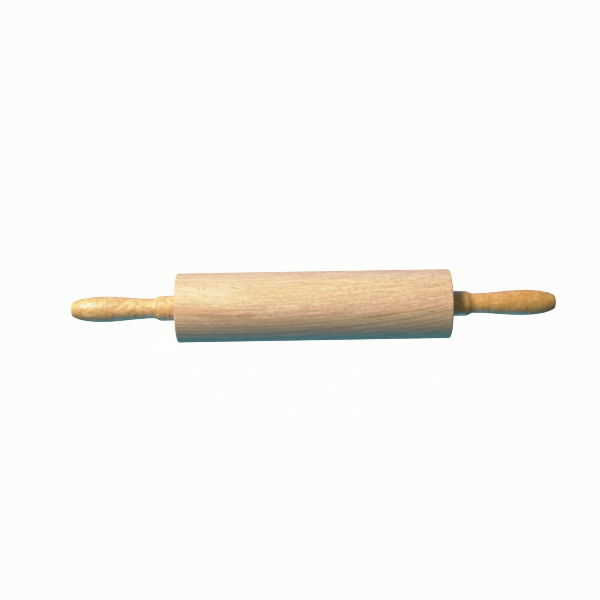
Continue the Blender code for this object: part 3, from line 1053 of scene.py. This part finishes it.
def lay_out(
    name: str, work: Workpiece, body: Body, finish: Finish, node: str, smooth_below: float = 40.0
) -> None:
    """Args:
        name: name of the piece.
        work: its shape, in place.
        body: the rigid body that it moves with.
        finish: what it is dressed in.
        node: the CAD node that it takes the place of.
        smooth_below: angle in degrees under which faces are shaded as one.
    """
    mesh = work.mesh(name, smooth_below)
    mesh.materials.append(finish.material())
    piece = bpy.data.objects.new(name, mesh)
    bpy.context.scene.collection.objects.link(piece)
    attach(piece, body.value)
    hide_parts(node)
    LOG.info("%s: %d faces, rides on %s", name, len(mesh.polygons), body.value)


def dress_node(node: str, finish: Finish) -> None:
    """Gives a CAD node that stays in view its finish.

    Args:
        node: name of the node.
        finish: what it is dressed in.
    """
    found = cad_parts[node]
    found.data.materials.clear()
    found.data.materials.append(finish.material())
    LOG.info("%s: CAD node kept, dressed in %s", node, finish.name)


@dataclass(frozen=True)
class Barrel:
    """The roller: a thick cylinder with eased rims, a through bore and a bearing seat in each end."""

    half_length: float
    radius: float
    edge_radius: float = 0.0016
    bore_radius: float = 0.005
    seat_radius: float = 0.0111
    seat_floor: float = 0.1166
    mouth_width: float = 0.0004
    facets: int = 224
    edge_steps: int = 10

    @classmethod
    def from_frame(cls) -> "Barrel":
        """The barrel at the size of its solid."""
        return cls(half_length=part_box("barrel")[1].x, radius=box_radius("barrel"))

    def outline(self) -> list[Point]:
        """Half section, closed through the bore.

        Returns:
            The points from one end to the other.
        """
        rim_centre = (self.half_length - self.edge_radius, self.radius - self.edge_radius)
        right = arc(rim_centre, self.edge_radius, 0, math.pi / 2, self.edge_steps)
        right += [
            (self.half_length, self.seat_radius + self.mouth_width),
            (self.half_length - self.mouth_width, self.seat_radius),
            (self.seat_floor, self.seat_radius),
            (self.seat_floor, self.bore_radius),
        ]
        return right + mirrored(right)

    def build(self) -> None:
        """Turns the barrel and lays it out."""
        work = Workpiece.turned(self.outline(), self.facets)
        work.carry_to(Side.RIGHT)
        lay_out("barrel_beech", work, Body.ROLLER, BARREL_BEECH, "barrel")


@dataclass(frozen=True)
class InsertRay:
    """A line out from the axis, bent so that the slot's sides are parallel.

    Attributes:
        slotted: whether the slot follows it.
        middle: angle of the middle of the slot's mouth.
        across: its place across the mouth, from -1 to 1.
        along: its place on the land after the mouth, from 0 to 1.
    """

    slotted: bool
    middle: float
    across: float
    along: float

    def turn(self, half_mouth: float) -> float:
        """Its angle at the radius where half the mouth spans the given angle."""
        return self.middle + self.across * half_mouth + self.along * (math.pi - 2 * half_mouth)


@dataclass(frozen=True)
class Insert:
    """The brass sleeve in a handle's collar, threaded inside and out and slotted for a driver."""

    side: Side
    face: float
    radius: float = 0.0060
    length: float = 0.018
    recess: float = 0.0005
    play: float = 0.0001
    bore_radius: float = 0.0041
    edge: float = 0.0004
    slot_width: float = 0.0016
    slot_depth: float = 0.0018
    levels: int = 120
    land_steps: int = 44
    slot_steps: int = 4
    outer_thread: Thread = Thread(0.0015, 0.0005)
    inner_thread: Thread = Thread(0.00125, 0.0004)

    def points(self, ray: InsertRay, depth: float) -> list[Place]:
        """Outer and inner point on one ray.

        Args:
            ray: the ray.
            depth: distance from the insert's end in the collar's face.

        Returns:
            Both points, about the pin's axis.
        """
        x = self.recess + depth
        near = min(depth, self.length - depth)
        outer_turn = ray.turn(math.asin(self.slot_width / 2 / self.radius))
        inner_turn = ray.turn(math.asin(self.slot_width / 2 / self.bore_radius))
        outer = self.radius - max(self.edge - near, 0)
        outer -= self.outer_thread.cut(x, outer_turn, near - self.edge)
        inner = self.bore_radius + self.inner_thread.cut(x, inner_turn, near)
        return [
            (self.face + x, radius * math.sin(turn), radius * math.cos(turn))
            for radius, turn in ((outer, outer_turn), (inner, inner_turn))
        ]

    def rays(self) -> list[InsertRay]:
        """Divides the round of the insert.

        Returns:
            The rays of each mouth of the slot, each time followed by those of a land.
        """
        rays = []
        for middle in (math.pi / 2, 3 * math.pi / 2):
            mouth = [2 * step / self.slot_steps - 1 for step in range(self.slot_steps)]
            rays += [InsertRay(True, middle, across, 0) for across in mouth]
            land = [step / self.land_steps for step in range(self.land_steps)]
            rays += [InsertRay(False, middle, 1, along) for along in land]
        return rays

    def work(self) -> Workpiece:
        """Shapes the insert.

        Returns:
            The closed sleeve, at its end of the pin.
        """
        made = Workpiece()
        verts, faces = made.body.verts, made.body.faces
        rays = self.rays()
        floor = round(self.levels * self.slot_depth / self.length)
        grid = []
        for level in range(self.levels + 1):
            depth = self.length * level / self.levels
            grid.append([[verts.new(point) for point in self.points(ray, depth)] for ray in rays])
        for index, ray in enumerate(rays):
            after = (index + 1) % len(rays)
            top = floor if ray.slotted else 0
            for row in (grid[top], grid[-1]):
                faces.new((row[index][0], row[after][0], row[after][1], row[index][1]))
            for upper, lower in zip(grid[top:], grid[top + 1:]):
                corners = (upper[index], upper[after], lower[after], lower[index])
                for wall in (0, 1):
                    faces.new([corner[wall] for corner in corners])
            if ray.slotted != rays[index - 1].slotted:
                for upper, lower in zip(grid[:floor], grid[1:]):
                    faces.new((*upper[index], *reversed(lower[index])))
        loose = [vert for vert in verts if not vert.link_faces]
        bmesh.ops.delete(made.body, geom=loose, context="VERTS")
        made.close_up()
        made.carry_to(self.side)
        return made


@dataclass(frozen=True)
class Handle:
    """A turned handle with its insert; x is measured from the collar's face."""

    side: Side
    face: float
    length: float
    insert: Insert
    collar_radius: float = 0.0117
    collar_length: float = 0.0123
    collar_edge: float = 0.0008
    cove_length: float = 0.0075
    waist_radius: float = 0.0093
    grip_radius: float = 0.0119
    grip_centre: float = 0.0655
    tip_radius: float = 0.0064
    tip_edge: float = 0.0009
    tip_drop: float = 0.0004
    nose_fullness: float = 2.3
    bore_radius: float = 0.0042
    bore_depth: float = 0.0402
    drill_point: float = 0.0022
    edge_steps: int = 8
    cove_steps: int = 20
    swell_steps: int = 36
    nose_steps: int = 40
    facets: int = 144

    @classmethod
    def from_frame(cls, side: Side) -> "Handle":
        """The handle at the place and length of its solid."""
        low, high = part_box("right_handle")
        return cls(side=side, face=low.x, length=high.x - low.x, insert=Insert(side, low.x))

    def outside(self) -> list[Point]:
        """Outline of collar, cove, swell and nose.

        Returns:
            The points from the collar's face to the middle of the tip.
        """
        edge_centre = (self.collar_edge, self.collar_radius - self.collar_edge)
        waist = (self.collar_length + self.cove_length, self.waist_radius)
        grip = (self.grip_centre, self.grip_radius)
        points = arc(edge_centre, self.collar_edge, -math.pi / 2, 0, self.edge_steps)
        points += half_wave((self.collar_length, self.collar_radius), waist, self.cove_steps)
        points += half_wave(waist, grip, self.swell_steps)[1:]
        points += self.nose()[1:]
        return points + [(self.length, self.tip_radius - self.tip_edge), (self.length, 0)]

    def nose(self) -> list[Point]:
        """Outline of the nose, a full curve.

        Returns:
            The points from the grip's widest place to the edge of the tip.
        """
        power = self.nose_fullness
        reach = (1 - (self.tip_radius / self.grip_radius) ** power) ** (1 / power)
        run = self.length - self.tip_drop - self.grip_centre
        points = []
        for step in range(self.nose_steps + 1):
            along = math.sin(math.pi / 2 * step / self.nose_steps)
            height = (1 - (reach * along) ** power) ** (1 / power)
            points.append((self.grip_centre + run * along, self.grip_radius * height))
        return points

    def inside(self) -> list[Point]:
        """Outline of the bore.

        Returns:
            The points from the drill's point out to the collar's face.
        """
        seat = self.insert.radius + self.insert.play
        seat_floor = self.insert.recess + self.insert.length + self.insert.play
        return [
            (self.bore_depth + self.drill_point, 0),
            (self.bore_depth, self.bore_radius),
            (seat_floor, self.bore_radius),
            (seat_floor, seat),
            (0, seat),
        ]

    def build(self) -> None:
        """Makes the handle and its insert and lays them out."""
        side = self.side.value
        outline = shifted(self.inside() + self.outside(), self.face)
        wood = Workpiece.turned(outline, self.facets, ring=False)
        wood.carry_to(self.side)
        lay_out(f"{side}_handle_beech", wood, Body.HANDLES, HANDLE_BEECH[self.side], f"{side}_handle")
        sleeve = self.insert.work()
        lay_out(f"{side}_insert_brass", sleeve, Body.HANDLES, BRASS, f"{side}_thread_insert")


@dataclass(frozen=True)
class Axle:
    """The steel rod, grooved for its circlips, with a washer behind each handle."""

    half_length: float
    radius: float
    groove_start: float
    groove_end: float
    groove_depth: float = 0.0002
    thread_start: float = 0.1283
    thread_drop: float = 0.0002
    tip_chamfer: float = 0.0008
    thread: Thread = Thread(0.00125, 0.0005)
    thread_steps: int = 210
    washer_play: float = 0.0002
    washer_edge: float = 0.00025
    washer_edge_steps: int = 4
    facets: int = 96

    @classmethod
    def from_frame(cls) -> "Axle":
        """Takes the sizes of the axle's solid and the places of the circlips.

        Returns:
            The axle, grooved where the circlips sit.
        """
        low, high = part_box("right_circlip")
        return cls(
            half_length=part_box("axle")[1].x,
            radius=box_radius("axle"),
            groove_start=low.x,
            groove_end=high.x,
        )

    def threaded_stretch(self) -> tuple[float, float, float]:
        """Places the thread.

        Returns:
            Its start, end and crest, measured from the pin's middle.
        """
        return (
            self.thread_start + self.thread_drop,
            self.half_length - self.tip_chamfer,
            self.radius - self.thread_drop,
        )

    def outline(self) -> list[Point]:
        """Half section of the rod.

        Returns:
            The points from the left end to the right one.
        """
        start, end, crest = self.threaded_stretch()
        steps = self.thread_steps
        right = [
            (self.groove_start, self.radius),
            (self.groove_start, self.radius - self.groove_depth),
            (self.groove_end, self.radius - self.groove_depth),
            (self.groove_end, self.radius),
            (self.thread_start, self.radius),
            *((start + (end - start) * step / steps, crest) for step in range(steps + 1)),
            (self.half_length, crest - self.tip_chamfer),
            (self.half_length, 0),
        ]
        return mirrored(right) + right

    def washer(self, side: Side) -> Workpiece:
        """Turns a washer at the place of its solid.

        Args:
            side: the end that it belongs to.

        Returns:
            The washer.
        """
        low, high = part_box("right_washer")
        bore = self.radius + self.washer_play
        rim = box_radius("right_washer")
        work = Workpiece.turned([(low.x, bore), (low.x, rim), (high.x, rim), (high.x, bore)], self.facets)
        work.ease_edges(self.washer_edge, self.washer_edge_steps)
        work.carry_to(side)
        return work

    def build(self) -> None:
        """Turns the axle and both washers, and dresses the circlips."""
        rod = Workpiece.turned(self.outline(), self.facets, ring=False)
        rod.cut_thread(self.thread, *self.threaded_stretch())
        rod.close_up()
        rod.carry_to(Side.RIGHT)
        lay_out("axle_rod", rod, Body.HANDLES, BRIGHT_STEEL, "axle")
        for side in Side:
            name = f"{side.value}_washer"
            lay_out(f"{name}_plate", self.washer(side), Body.HANDLES, ZINC, name)
            dress_node(f"{side.value}_circlip", SPRING_STEEL)


@dataclass(frozen=True)
class BallBearing:
    """Two grooved races, two dished shields, a ribbon cage in two halves and its balls."""

    side: Side
    centre: float
    half_width: float
    outer_radius: float
    ball_radius: float
    pitch_radius: float
    bore_radius: float = 0.0041
    ball_count: int = 7
    groove_clearance: float = 0.00008
    groove_depth_share: float = 0.28
    cage_clearance: float = 0.00012
    cage_thickness: float = 0.0003
    cage_width_share: float = 0.6
    cage_gap: float = 0.00003
    shield_back: float = 0.0028
    shield_thickness: float = 0.0003
    shield_dish: float = 0.00015
    shield_lip: float = 0.0006
    shield_play: float = 0.00025
    fit: float = 0.0001
    edge: float = 0.000075
    edge_steps: int = 2
    facets: int = 112
    groove_steps: int = 18
    cage_cuts: int = 4
    cage_steps_per_ball: int = 24
    ball_subdivisions: int = 4

    @classmethod
    def from_frame(cls, side: Side) -> "BallBearing":
        """Takes the sizes of the bearing's solids.

        Args:
            side: the end that the bearing belongs to.

        Returns:
            The bearing.
        """
        low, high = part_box("right_bearing_outer_ring")
        ball_low, ball_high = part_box("right_bearing_ball_1")
        return cls(
            side=side,
            centre=(low.x + high.x) / 2,
            half_width=(high.x - low.x) / 2,
            outer_radius=box_radius("right_bearing_outer_ring"),
            ball_radius=(ball_high.z - ball_low.z) / 2,
            pitch_radius=(ball_high.z + ball_low.z) / 2 - AXIS_HEIGHT,
        )

    @property
    def groove_radius(self) -> float:
        """Radius of both races' grooves."""
        return self.ball_radius + self.groove_clearance

    @property
    def groove_half_angle(self) -> float:
        """Half the angle that a groove spans at the ball's centre."""
        depth = self.groove_depth_share * self.ball_radius
        return math.acos((self.groove_radius - depth) / self.groove_radius)

    @property
    def inner_shoulder(self) -> float:
        """Radius of the inner race beside its groove."""
        return self.pitch_radius - self.groove_radius + self.groove_depth_share * self.ball_radius

    @property
    def outer_shoulder(self) -> float:
        """Radius of the outer race beside its groove."""
        return self.pitch_radius + self.groove_radius - self.groove_depth_share * self.ball_radius

    def groove(self, start: float, end: float) -> list[Point]:
        """Outline of a race's groove between two angles."""
        return arc((0, self.pitch_radius), self.groove_radius, start, end, self.groove_steps)

    def outer_ring(self) -> list[Point]:
        """Half section of the outer race, with a recess for a shield at each face.

        Returns:
            The points once round the section.
        """
        recess = self.outer_shoulder + self.shield_lip
        floor = self.shield_back - self.fit
        right = [
            (floor, self.outer_shoulder),
            (floor, recess),
            (self.half_width, recess),
            (self.half_width, self.outer_radius),
        ]
        half = self.groove_half_angle
        return self.groove(-half, half) + right + mirrored(right)

    def inner_ring(self) -> list[Point]:
        """Half section of the inner race.

        Returns:
            The points once round the section.
        """
        right = [(self.half_width, self.inner_shoulder), (self.half_width, self.bore_radius)]
        half = self.groove_half_angle
        return self.groove(math.pi + half, math.pi - half) + right + mirrored(right)

    def shield(self) -> list[Point]:
        """Half section of a shield: rim in the outer race, dished plate, hole clear of the inner one.

        Returns:
            The points once round the section.
        """
        rim = self.outer_shoulder + self.shield_lip - self.fit
        hole = self.inner_shoulder + self.shield_play
        step = (rim + hole) / 2
        back = [
            (self.shield_back, rim),
            (self.shield_back, step + self.shield_dish),
            (self.shield_back + self.shield_dish, step),
            (self.shield_back + self.shield_dish, hole),
        ]
        return back + shifted(back, self.shield_thickness)[::-1]

    def turn(self, outline: list[Point], facing: int = 1) -> Workpiece:
        """Turns a ring of the bearing.

        Args:
            outline: half section about the bearing's middle plane.
            facing: 1 for the side of the handle, -1 for the side of the barrel.

        Returns:
            The ring, at its end of the pin.
        """
        placed = shifted([(facing * x, radius) for x, radius in outline], self.centre)
        work = Workpiece.turned(placed, self.facets)
        work.ease_edges(self.edge, self.edge_steps)
        work.carry_to(self.side)
        return work

    def ball(self, index: int) -> Workpiece:
        """Makes one ball.

        Args:
            index: its number, from 0.

        Returns:
            The ball in its place on the pitch circle.
        """
        work = Workpiece()
        angle = math.tau * index / self.ball_count
        bmesh.ops.create_icosphere(work.body, subdivisions=self.ball_subdivisions, radius=self.ball_radius)
        work.move((self.centre, self.pitch_radius * math.sin(angle), self.pitch_radius * math.cos(angle)))
        work.carry_to(self.side)
        return work

    def cage_half(self, facing: int) -> Workpiece:
        """A flat ribbon, pressed up over each ball and flat on the lands between.

        Args:
            facing: 1 for the half towards the handle, -1 for the one towards the barrel.

        Returns:
            The ribbon, with its thickness.
        """
        half_width = self.cage_width_share * (self.outer_shoulder - self.inner_shoulder) / 2
        pocket = self.ball_radius + self.cage_clearance
        work = Workpiece()
        body = work.body
        ends = [body.verts.new((0, 0, self.pitch_radius + way * half_width)) for way in (-1, 1)]
        bmesh.ops.subdivide_edges(body, edges=[body.edges.new(ends)], cuts=self.cage_cuts)
        work.spin(self.ball_count * self.cage_steps_per_ball)
        spacing = math.tau / self.ball_count
        for vert in body.verts:
            turn = math.atan2(vert.co.y, vert.co.z)
            reach = self.pitch_radius * (turn - round(turn / spacing) * spacing)
            arch = math.sqrt(max(pocket**2 - reach**2, 0))
            vert.co.x = max(arch, self.cage_gap)
        bmesh.ops.recalc_face_normals(body, faces=body.faces)
        bmesh.ops.solidify(body, geom=body.faces[:], thickness=-self.cage_thickness)
        if facing < 0:
            work.turn_round()
        work.move((self.centre, 0, 0))
        work.close_up()
        work.carry_to(self.side)
        return work

    def build(self) -> None:
        """Makes every piece of the bearing and lays it out."""
        name = f"{self.side.value}_bearing"
        cage = Body.LEFT_CAGE if self.side is Side.LEFT else Body.RIGHT_CAGE
        outer, inner = self.turn(self.outer_ring()), self.turn(self.inner_ring())
        lay_out(f"{name}_outer_race", outer, Body.ROLLER, RACE_STEEL, f"{name}_outer_ring")
        lay_out(f"{name}_inner_race", inner, Body.HANDLES, RACE_STEEL, f"{name}_inner_ring")
        for face, facing in (("outboard", 1), ("inboard", -1)):
            part = f"{name}_{face}"
            cover = self.turn(self.shield(), facing)
            lay_out(f"{part}_cover", cover, Body.ROLLER, SHIELD_STEEL, f"{part}_shield")
            lay_out(f"{part}_ribbon", self.cage_half(facing), cage, CAGE_STEEL, f"{part}_cage_half")
        for index in range(self.ball_count):
            number = index + 1
            ball = self.ball(index)
            lay_out(f"{name}_steel_ball_{number}", ball, cage, BALL_STEEL, f"{name}_ball_{number}", 180.0)


@dataclass(frozen=True)
class SoftBox:
    """A rectangular area light whose one side runs along the pin.

    Attributes:
        name: name of the light.
        direction: from the pin to the light.
        width: side that runs along the pin.
        height: side that goes round it.
        power: in watts.
        colour: colour of its light.
        distance: from the pin's middle to the light.
    """

    name: str
    direction: Place
    width: float
    height: float
    power: float
    colour: Colour
    distance: float = 1.6

    def hang(self, lit: bpy.types.Collection) -> None:
        """Puts the light up.

        Args:
            lit: collection that limits what the light reaches.
        """
        data = bpy.data.lights.new(self.name, "AREA")
        data.shape = "RECTANGLE"
        data.size = self.width
        data.size_y = self.height
        data.energy = self.power
        data.color = self.colour
        lamp = bpy.data.objects.new(self.name, data)
        bpy.context.scene.collection.objects.link(lamp)
        away = Vector(self.direction).normalized()
        along = Vector((1, 0, 0)) - away * away.x
        along.normalize()
        axes = Matrix((along, away.cross(along), away)).transposed()
        place = Vector((0, 0, AXIS_HEIGHT)) + away * self.distance
        lamp.matrix_world = Matrix.Translation(place) @ axes.to_4x4()
        lamp.visible_camera = False
        lamp.light_linking.receiver_collection = lit


# The two lights from below stand for the coloured surface that was cut away from the photograph.
LAMPS = (
    SoftBox("key", (-0.50, -0.338, 0.797), 0.5, 1.05, 31.8, (1.0, 1.035, 1.21)),
    SoftBox("fill", (0.0, -0.891, 0.454), 0.8, 0.8, 1.0, (1.0, 0.55, 0.2)),
    SoftBox("window", (0.0, 0.766, 0.643), 0.8, 0.8, 4.9, (0.0, 0.15, 1.0)),
    SoftBox("bounce", (0.0, 0.03, -1.0), 1.4, 1.4, 7.3, (0.05, 0.68, 1.0)),
    SoftBox("low_bounce", (0.0, -0.5, -0.866), 0.8, 0.8, 2.8, (0.0, 0.25, 1.0)),
    SoftBox("back", (0.3, 0.93, -0.25), 0.8, 0.8, 7.0, (1.0, 0.85, 0.7)),
)


@dataclass(frozen=True)
class Camera:
    """The photographer's camera; distance and aim in metres, angles in degrees, the rest in mm."""

    distance: float = 1.000
    elevation: float = 27.0
    roll: float = 0.96
    lens: float = 65.3
    sensor: float = 36.0
    aim_left: float = 0.0123
    aim_up: float = 0.0053
    nearest: float = 0.01
    farthest: float = 100.0

    def place(self) -> None:
        """Puts the camera up and makes it the scene's own."""
        tilt = math.radians(self.elevation)
        forward = Vector((0, math.cos(tilt), -math.sin(tilt)))
        level = Vector((0, math.sin(tilt), math.cos(tilt)))
        lean = math.radians(self.roll)
        up = level * math.cos(lean) + Vector((1, 0, 0)) * math.sin(lean)
        right = forward.cross(up)
        target = Vector((0, 0, AXIS_HEIGHT)) - right * self.aim_left + up * self.aim_up
        data = bpy.data.cameras.new("photograph")
        data.lens = self.lens
        data.sensor_width = self.sensor
        data.clip_start = self.nearest
        data.clip_end = self.farthest
        camera = bpy.data.objects.new("photograph", data)
        bpy.context.scene.collection.objects.link(camera)
        axes = Matrix((right, up, -forward)).transposed()
        camera.matrix_world = Matrix.Translation(target - forward * self.distance) @ axes.to_4x4()
        bpy.context.scene.camera = camera


@dataclass(frozen=True)
class Studio:
    """Pale floor, soft light and the print's tones.

    Attributes:
        floor_radius: radius of the floor.
        floor_colour: colour of its paper.
        floor_shade: what share of that colour its grain keeps.
        background: light of the floor and of all that lies behind the pin.
        sky: light on the pin from the room above.
        ground: light on it from the room below.
        wall: what the pin mirrors above.
        table: what it mirrors below.
        response: light and how bright it is printed, from dark to bright.
        brightest: light at the end of the print's tones.
    """

    floor_radius: float = 6.0
    floor_colour: Colour = (0.86, 0.86, 0.85)
    floor_shade: float = 0.99
    background: Colour = (1.64, 1.64, 1.40)
    sky: Colour = (0.12, 0.16, 0.10)
    ground: Colour = (0.0, 0.02, 0.03)
    wall: Colour = (0.29, 0.42, 0.67)
    table: Colour = (0.09, 0.25, 0.50)
    response: tuple[Point, ...] = ((0.4, 0.4), (0.85, 0.85), (1.1, 0.93), (1.6, 0.97))
    brightest: float = 2.5

    def paper(self) -> bpy.types.Material:
        """Mixes the floor's material, which is clear for a camera below the floor.

        Returns:
            The material.
        """
        made = bpy.data.materials.new("floor_paper")
        made.use_nodes = True
        recipe = Recipe(made.node_tree)
        shader = made.node_tree.nodes["Principled BSDF"]
        place = recipe.add("ShaderNodeTexCoord").outputs["Object"]
        grain = recipe.noise(place, scale=30.0, detail=3.0)
        shade = tuple(self.floor_shade * part for part in self.floor_colour)
        recipe.feed(shader.inputs["Base Color"], recipe.tint(grain, self.floor_colour, shade))
        shader.inputs["Roughness"].default_value = 0.9
        shader.inputs["Specular IOR Level"].default_value = 0.1
        shader.inputs["Emission Color"].default_value = opaque(self.background)
        shader.inputs["Emission Strength"].default_value = 1.0
        from_below = recipe.add("ShaderNodeNewGeometry").outputs["Backfacing"]
        recipe.feed(shader.inputs["Alpha"], recipe.math("SUBTRACT", 1.0, from_below))
        return made

    def floor(self) -> bpy.types.Object:
        """Lays the floor, which throws neither light nor shadow on the pin.

        Returns:
            The floor.
        """
        work = Workpiece()
        bmesh.ops.create_circle(work.body, cap_ends=True, radius=self.floor_radius, segments=96)
        mesh = work.mesh("floor", 30)
        mesh.materials.append(self.paper())
        floor = bpy.data.objects.new("floor", mesh)
        bpy.context.scene.collection.objects.link(floor)
        floor.visible_diffuse = False
        floor.visible_glossy = False
        floor.visible_shadow = False
        return floor

    def light(self, floor: bpy.types.Object) -> None:
        """Hangs the lights, none of which reaches the floor.

        Args:
            floor: the floor.
        """
        spared = bpy.data.collections.new("spared_by_lights")
        spared.objects.link(floor)
        spared.collection_objects[0].light_linking.link_state = "EXCLUDE"
        for lamp in LAMPS:
            lamp.hang(spared)

    def surroundings(self) -> None:
        """Shows the camera the background, and the pin a dim room that it mirrors in cool colours."""
        world = bpy.data.worlds.new("studio")
        world.use_nodes = True
        bpy.context.scene.world = world
        world.node_tree.nodes.clear()
        recipe = Recipe(world.node_tree)
        direction = recipe.split(recipe.add("ShaderNodeTexCoord").outputs["Generated"])
        lit_by = recipe.tint(recipe.ramp(direction[2], -0.9, 0.1), self.ground, self.sky)
        mirrored_room = recipe.tint(recipe.ramp(direction[2], -0.3, 0.5), self.table, self.wall)
        ray = recipe.add("ShaderNodeLightPath").outputs
        room = recipe.tint(ray["Is Glossy Ray"], lit_by, mirrored_room)
        shown = recipe.tint(ray["Is Camera Ray"], room, self.background)
        sky = recipe.add("ShaderNodeBackground", {0: shown})
        recipe.add("ShaderNodeOutputWorld", {0: sky.outputs[0]})

    def tones(self) -> None:
        """Sets how light becomes print."""
        settings = bpy.context.scene.view_settings
        settings.view_transform = "Standard"
        settings.look = "None"
        settings.exposure = 0.0
        settings.gamma = 1.0
        settings.use_curve_mapping = True
        mapping = settings.curve_mapping
        mapping.white_level = (self.brightest,) * 3
        curve = mapping.curves[3]
        for light, printed in self.response:
            curve.points.new(light / self.brightest, printed)
        mapping.update()

    def set_up(self) -> None:
        """Prepares the whole studio."""
        self.light(self.floor())
        self.surroundings()
        self.tones()


def main() -> None:
    """Places the camera, builds the pin from its middle outwards and sets up the studio round it."""
    logging.basicConfig(level=logging.INFO, format="%(name)s: %(message)s")
    Camera().place()
    Barrel.from_frame().build()
    Axle.from_frame().build()
    for side in Side:
        BallBearing.from_frame(side).build()
        Handle.from_frame(side).build()
    Studio().set_up()


if __name__ == "__main__":
    main()
